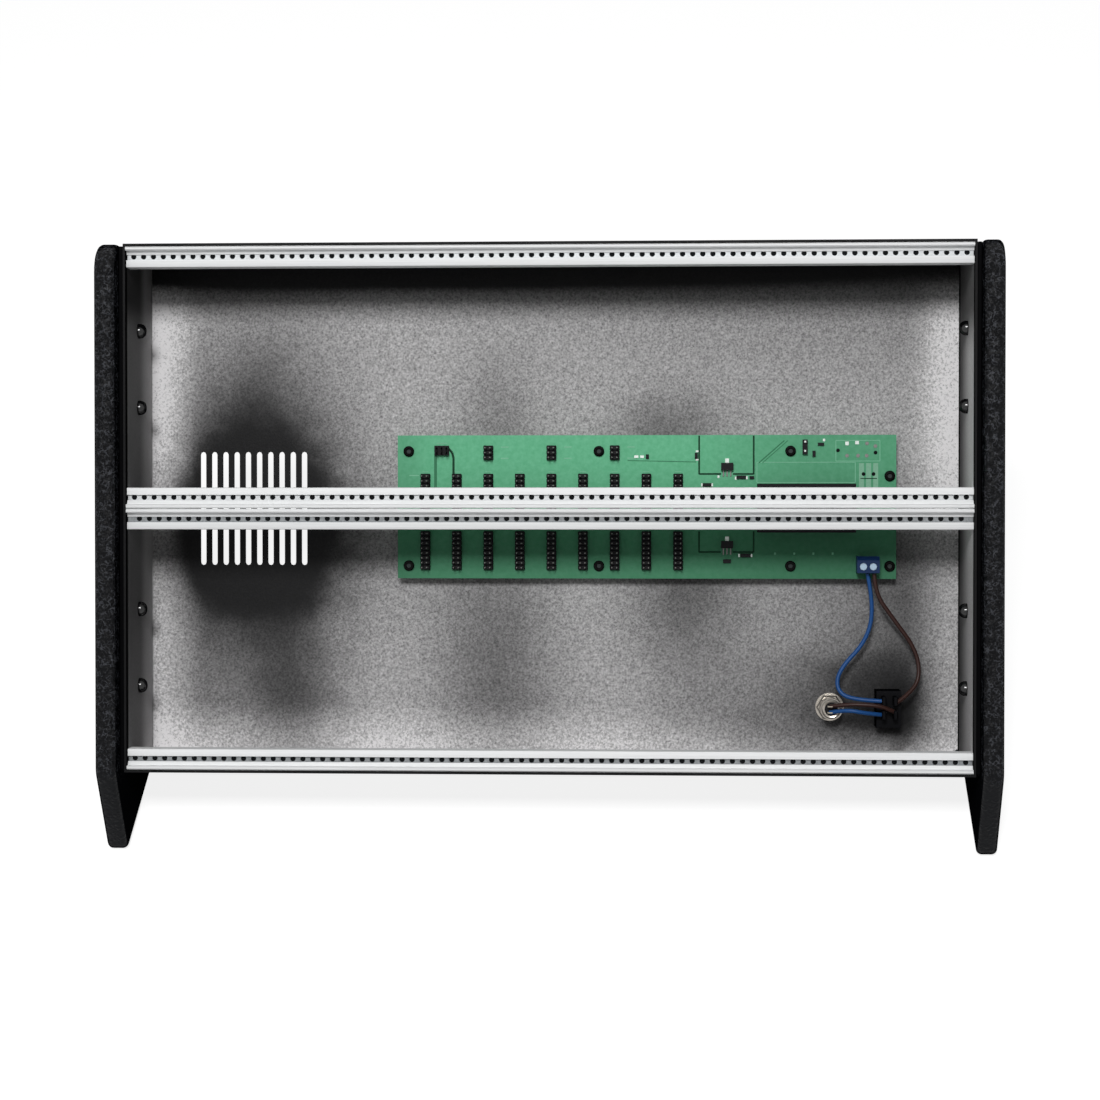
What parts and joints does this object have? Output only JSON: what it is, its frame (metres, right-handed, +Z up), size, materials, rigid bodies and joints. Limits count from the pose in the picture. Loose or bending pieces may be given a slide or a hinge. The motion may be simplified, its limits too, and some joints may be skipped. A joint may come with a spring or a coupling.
{
  "type": "subrack card cage",
  "caption": "Two-row subrack case that leans back on side cheeks, with slotted rails, a bus board, vents, a power inlet and a rocker switch.",
  "frame": {"origin": "on the table, under the middle of the case's bounding box", "axes": "+X to the right along the rails, +Y to the back, +Z up; the case leans back 33 degrees about X"},
  "size_m": [0.4572, 0.2104, 0.2725],
  "materials": {
    "case_black": "matt black paint, thin on the back wall",
    "cheek_black": "black hammered paint",
    "rail_alu": "bright bare",
    "strip_steel": "zinc plated",
    "screw_black": "black oxide",
    "screw_steel": "plain steel",
    "board_green": "solder mask",
    "plug_black": "moulded",
    "chip_black": "moulded",
    "tab_steel": "tinned",
    "light_white": "milky",
    "terminal_blue": "moulded",
    "inlet_metal": "nickel plated",
    "switch_plastic": "moulded",
    "blade_metal": "tinned brass",
    "wire_blue": "sheath",
    "wire_brown": "sheath"
  },
  "bodies": {
    "cage": {"board_chips": "chip_black", "board_screws": "screw_black", "board_standoffs": "screw_steel", "bus_board": "board_green", "case_wrap": "case_black", "cheek_left": "cheek_black", "cheek_right": "cheek_black", "cheek_screws_left": "screw_black", "cheek_screws_right": "screw_black", "converter_brick": "plug_black", "feed_wire_blue": "wire_blue", "feed_wire_brown": "wire_brown", "headers_lower": "plug_black", "headers_upper": "plug_black", "indicator_strip": "light_white", "inlet_lugs": "blade_metal", "inlet_nut": "inlet_metal", "inlet_pin": "inlet_metal", "inlet_shell": "inlet_metal", "inlet_wire_blue": "wire_blue", "inlet_wire_brown": "wire_brown", "jumper_header": "plug_black", "rail_lower_bottom": "rail_alu", "rail_lower_top": "rail_alu", "rail_screws_left": "screw_steel", "rail_screws_right": "screw_steel", "rail_upper_bottom": "rail_alu", "rail_upper_top": "rail_alu", "regulator_bodies": "plug_black", "regulator_tabs": "tab_steel", "side_plate_left": "case_black", "side_plate_right": "case_black", "small_headers": "plug_black", "strip_lower_bottom": "strip_steel", "strip_lower_top": "strip_steel", "strip_upper_bottom": "strip_steel", "strip_upper_top": "strip_steel", "switch_blades": "blade_metal", "switch_housing": "switch_plastic", "terminal_block": "terminal_blue", "terminal_screws": "screw_steel"},
    "rocker": {"switch_rocker": "switch_plastic"}
  },
  "joints": [
    {"name": "rocker_tilt", "type": "hinge", "parent": "cage", "child": "rocker", "pos_m": [0.1764, -0.03074, 0.0389], "axis": [1, 0, 0], "range_deg": [0, 20]}
  ]
}
